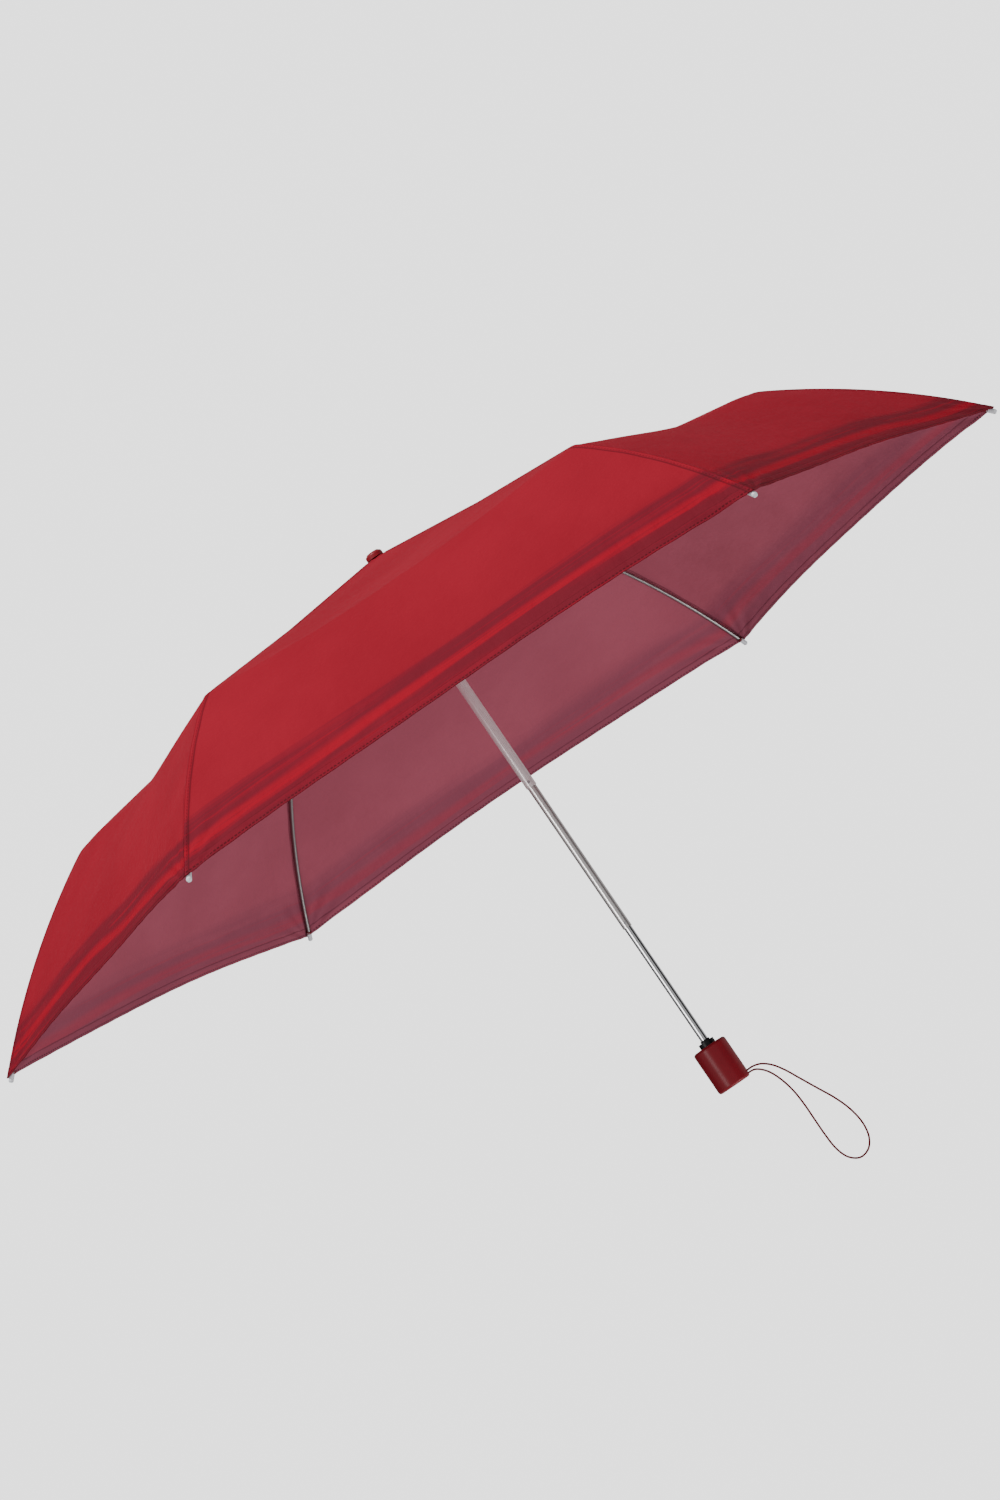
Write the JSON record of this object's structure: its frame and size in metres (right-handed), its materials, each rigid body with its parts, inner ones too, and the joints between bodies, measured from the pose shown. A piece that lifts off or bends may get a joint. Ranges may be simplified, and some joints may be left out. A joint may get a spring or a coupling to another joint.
{
  "type": "folding umbrella",
  "caption": "Open compact folding umbrella: hexagonal red fabric canopy on hinged folding ribs, telescopic metal shaft, short round handle with a cord wrist loop.",
  "frame": {"origin": "centre of the hand grip, on the shaft's axis", "axes": "+Z along the shaft from the handle to the finial, +X along one rib, with the umbrella held upright and open"},
  "size_m": [0.962, 0.8336, 0.623],
  "materials": {
    "handle_red": "satin soft-touch red",
    "black_plastic": "moulded black",
    "chrome_tube": "bright plated",
    "satin_tube": "satin nickel",
    "rib_metal": "satin drawn rod",
    "pin_steel": "plain",
    "tip_silver": "plated",
    "cloth_red": "plain-weave polyester, border of soft brush stripes",
    "cord_red": "braided"
  },
  "bodies": {
    "handle": {"handle_shell": "handle_red", "collar": "black_plastic", "handle_pin": "pin_steel", "cord_plug": "cord_red", "wrist_cord": "cord_red", "lower_tube": "chrome_tube"},
    "middle_section": {"middle_tube": "satin_tube", "middle_detent": "black_plastic"},
    "upper_section": {"upper_tube": "chrome_tube", "upper_detent": "black_plastic", "top_notch": "black_plastic", "notch_wire": "pin_steel", "finial": "handle_red", "canopy": "cloth_red"},
    "runner": {"runner": "black_plastic", "runner_wire": "pin_steel"},
    "inner_arm_0": {"inner_rib_0": "rib_metal", "inner_pins_0": "pin_steel"},
    "strut_0": {"stretcher_0": "rib_metal"},
    "middle_arm_0": {"middle_rib_0": "rib_metal", "outer_pin_0": "pin_steel"},
    "outer_arm_0": {"outer_rib_0": "rib_metal", "tip_cap_0": "tip_silver"},
    "inner_arm_1": {"inner_rib_1": "rib_metal", "inner_pins_1": "pin_steel"},
    "strut_1": {"stretcher_1": "rib_metal"},
    "middle_arm_1": {"middle_rib_1": "rib_metal", "outer_pin_1": "pin_steel"},
    "outer_arm_1": {"outer_rib_1": "rib_metal", "tip_cap_1": "tip_silver"},
    "inner_arm_2": {"inner_rib_2": "rib_metal", "inner_pins_2": "pin_steel"},
    "strut_2": {"stretcher_2": "rib_metal"},
    "middle_arm_2": {"middle_rib_2": "rib_metal", "outer_pin_2": "pin_steel"},
    "outer_arm_2": {"outer_rib_2": "rib_metal", "tip_cap_2": "tip_silver"},
    "inner_arm_3": {"inner_rib_3": "rib_metal", "inner_pins_3": "pin_steel"},
    "strut_3": {"stretcher_3": "rib_metal"},
    "middle_arm_3": {"middle_rib_3": "rib_metal", "outer_pin_3": "pin_steel"},
    "outer_arm_3": {"outer_rib_3": "rib_metal", "tip_cap_3": "tip_silver"},
    "inner_arm_4": {"inner_rib_4": "rib_metal", "inner_pins_4": "pin_steel"},
    "strut_4": {"stretcher_4": "rib_metal"},
    "middle_arm_4": {"middle_rib_4": "rib_metal", "outer_pin_4": "pin_steel"},
    "outer_arm_4": {"outer_rib_4": "rib_metal", "tip_cap_4": "tip_silver"},
    "inner_arm_5": {"inner_rib_5": "rib_metal", "inner_pins_5": "pin_steel"},
    "strut_5": {"stretcher_5": "rib_metal"},
    "middle_arm_5": {"middle_rib_5": "rib_metal", "outer_pin_5": "pin_steel"},
    "outer_arm_5": {"outer_rib_5": "rib_metal", "tip_cap_5": "tip_silver"}
  },
  "joints": [
    {"name": "lower_telescope", "type": "slide", "parent": "handle", "child": "middle_section", "axis": [0, 0, 1], "range_m": [-0.108, 0]},
    {"name": "upper_telescope", "type": "slide", "parent": "middle_section", "child": "upper_section", "axis": [0, 0, 1], "range_m": [-0.13, 0]},
    {"name": "runner_slide", "type": "slide", "parent": "upper_section", "child": "runner", "axis": [0, 0, 1], "range_m": [-0.10253, 0], "deforming": ["canopy"]},
    {"name": "inner_hinge_0", "type": "hinge", "parent": "upper_section", "child": "inner_arm_0", "pos_m": [0.0135, 0, 0.49], "axis": [0, 1, 0], "range_deg": [0, 78.52]},
    {"name": "strut_hinge_0", "type": "hinge", "parent": "inner_arm_0", "child": "strut_0", "pos_m": [0.09086, 0, 0.46896], "axis": [0, 1, 0], "range_deg": [-134.17, 0]},
    {"name": "middle_hinge_0", "type": "hinge", "parent": "inner_arm_0", "child": "middle_arm_0", "pos_m": [0.17617, 0, 0.45691], "axis": [0, 1, 0], "range_deg": [-178.62, 0]},
    {"name": "outer_hinge_0", "type": "hinge", "parent": "middle_arm_0", "child": "outer_arm_0", "pos_m": [0.32711, 0, 0.42616], "axis": [0, 1, 0], "range_deg": [0, 151.53]},
    {"name": "inner_hinge_1", "type": "hinge", "parent": "upper_section", "child": "inner_arm_1", "pos_m": [0.00675, 0.01169, 0.49], "axis": [-0.866, 0.5, 0], "range_deg": [0, 78.52]},
    {"name": "strut_hinge_1", "type": "hinge", "parent": "inner_arm_1", "child": "strut_1", "pos_m": [0.04543, 0.07869, 0.46896], "axis": [-0.866, 0.5, 0], "range_deg": [-134.17, 0]},
    {"name": "middle_hinge_1", "type": "hinge", "parent": "inner_arm_1", "child": "middle_arm_1", "pos_m": [0.08808, 0.15257, 0.45691], "axis": [-0.866, 0.5, 0], "range_deg": [-178.62, 0]},
    {"name": "outer_hinge_1", "type": "hinge", "parent": "middle_arm_1", "child": "outer_arm_1", "pos_m": [0.16356, 0.28329, 0.42616], "axis": [-0.866, 0.5, 0], "range_deg": [0, 151.53]},
    {"name": "inner_hinge_2", "type": "hinge", "parent": "upper_section", "child": "inner_arm_2", "pos_m": [-0.00675, 0.01169, 0.49], "axis": [-0.866, -0.5, 0], "range_deg": [0, 78.52]},
    {"name": "strut_hinge_2", "type": "hinge", "parent": "inner_arm_2", "child": "strut_2", "pos_m": [-0.04543, 0.07869, 0.46896], "axis": [-0.866, -0.5, 0], "range_deg": [-134.17, 0]},
    {"name": "middle_hinge_2", "type": "hinge", "parent": "inner_arm_2", "child": "middle_arm_2", "pos_m": [-0.08808, 0.15257, 0.45691], "axis": [-0.866, -0.5, 0], "range_deg": [-178.62, 0]},
    {"name": "outer_hinge_2", "type": "hinge", "parent": "middle_arm_2", "child": "outer_arm_2", "pos_m": [-0.16356, 0.28329, 0.42616], "axis": [-0.866, -0.5, 0], "range_deg": [0, 151.53]},
    {"name": "inner_hinge_3", "type": "hinge", "parent": "upper_section", "child": "inner_arm_3", "pos_m": [-0.0135, 0, 0.49], "axis": [0, -1, 0], "range_deg": [0, 78.52]},
    {"name": "strut_hinge_3", "type": "hinge", "parent": "inner_arm_3", "child": "strut_3", "pos_m": [-0.09086, 0, 0.46896], "axis": [0, -1, 0], "range_deg": [-134.17, 0]},
    {"name": "middle_hinge_3", "type": "hinge", "parent": "inner_arm_3", "child": "middle_arm_3", "pos_m": [-0.17617, 0, 0.45691], "axis": [0, -1, 0], "range_deg": [-178.62, 0]},
    {"name": "outer_hinge_3", "type": "hinge", "parent": "middle_arm_3", "child": "outer_arm_3", "pos_m": [-0.32711, 0, 0.42616], "axis": [0, -1, 0], "range_deg": [0, 151.53]},
    {"name": "inner_hinge_4", "type": "hinge", "parent": "upper_section", "child": "inner_arm_4", "pos_m": [-0.00675, -0.01169, 0.49], "axis": [0.866, -0.5, 0], "range_deg": [0, 78.52]},
    {"name": "strut_hinge_4", "type": "hinge", "parent": "inner_arm_4", "child": "strut_4", "pos_m": [-0.04543, -0.07869, 0.46896], "axis": [0.866, -0.5, 0], "range_deg": [-134.17, 0]},
    {"name": "middle_hinge_4", "type": "hinge", "parent": "inner_arm_4", "child": "middle_arm_4", "pos_m": [-0.08808, -0.15257, 0.45691], "axis": [0.866, -0.5, 0], "range_deg": [-178.62, 0]},
    {"name": "outer_hinge_4", "type": "hinge", "parent": "middle_arm_4", "child": "outer_arm_4", "pos_m": [-0.16356, -0.28329, 0.42616], "axis": [0.866, -0.5, 0], "range_deg": [0, 151.53]},
    {"name": "inner_hinge_5", "type": "hinge", "parent": "upper_section", "child": "inner_arm_5", "pos_m": [0.00675, -0.01169, 0.49], "axis": [0.866, 0.5, 0], "range_deg": [0, 78.52]},
    {"name": "strut_hinge_5", "type": "hinge", "parent": "inner_arm_5", "child": "strut_5", "pos_m": [0.04543, -0.07869, 0.46896], "axis": [0.866, 0.5, 0], "range_deg": [-134.17, 0]},
    {"name": "middle_hinge_5", "type": "hinge", "parent": "inner_arm_5", "child": "middle_arm_5", "pos_m": [0.08808, -0.15257, 0.45691], "axis": [0.866, 0.5, 0], "range_deg": [-178.62, 0]},
    {"name": "outer_hinge_5", "type": "hinge", "parent": "middle_arm_5", "child": "outer_arm_5", "pos_m": [0.16356, -0.28329, 0.42616], "axis": [0.866, 0.5, 0], "range_deg": [0, 151.53]}
  ],
  "couplings": [
    {"joint": "inner_hinge_0", "follows": "runner_slide", "rad_per_m": -13.363},
    {"joint": "strut_hinge_0", "follows": "runner_slide", "rad_per_m": 22.836},
    {"joint": "middle_hinge_0", "follows": "runner_slide", "rad_per_m": 30.404},
    {"joint": "outer_hinge_0", "follows": "runner_slide", "rad_per_m": -25.792},
    {"joint": "inner_hinge_1", "follows": "runner_slide", "rad_per_m": -13.363},
    {"joint": "strut_hinge_1", "follows": "runner_slide", "rad_per_m": 22.836},
    {"joint": "middle_hinge_1", "follows": "runner_slide", "rad_per_m": 30.404},
    {"joint": "outer_hinge_1", "follows": "runner_slide", "rad_per_m": -25.792},
    {"joint": "inner_hinge_2", "follows": "runner_slide", "rad_per_m": -13.363},
    {"joint": "strut_hinge_2", "follows": "runner_slide", "rad_per_m": 22.836},
    {"joint": "middle_hinge_2", "follows": "runner_slide", "rad_per_m": 30.404},
    {"joint": "outer_hinge_2", "follows": "runner_slide", "rad_per_m": -25.792},
    {"joint": "inner_hinge_3", "follows": "runner_slide", "rad_per_m": -13.363},
    {"joint": "strut_hinge_3", "follows": "runner_slide", "rad_per_m": 22.836},
    {"joint": "middle_hinge_3", "follows": "runner_slide", "rad_per_m": 30.404},
    {"joint": "outer_hinge_3", "follows": "runner_slide", "rad_per_m": -25.792},
    {"joint": "inner_hinge_4", "follows": "runner_slide", "rad_per_m": -13.363},
    {"joint": "strut_hinge_4", "follows": "runner_slide", "rad_per_m": 22.836},
    {"joint": "middle_hinge_4", "follows": "runner_slide", "rad_per_m": 30.404},
    {"joint": "outer_hinge_4", "follows": "runner_slide", "rad_per_m": -25.792},
    {"joint": "inner_hinge_5", "follows": "runner_slide", "rad_per_m": -13.363},
    {"joint": "strut_hinge_5", "follows": "runner_slide", "rad_per_m": 22.836},
    {"joint": "middle_hinge_5", "follows": "runner_slide", "rad_per_m": 30.404},
    {"joint": "outer_hinge_5", "follows": "runner_slide", "rad_per_m": -25.792}
  ]
}
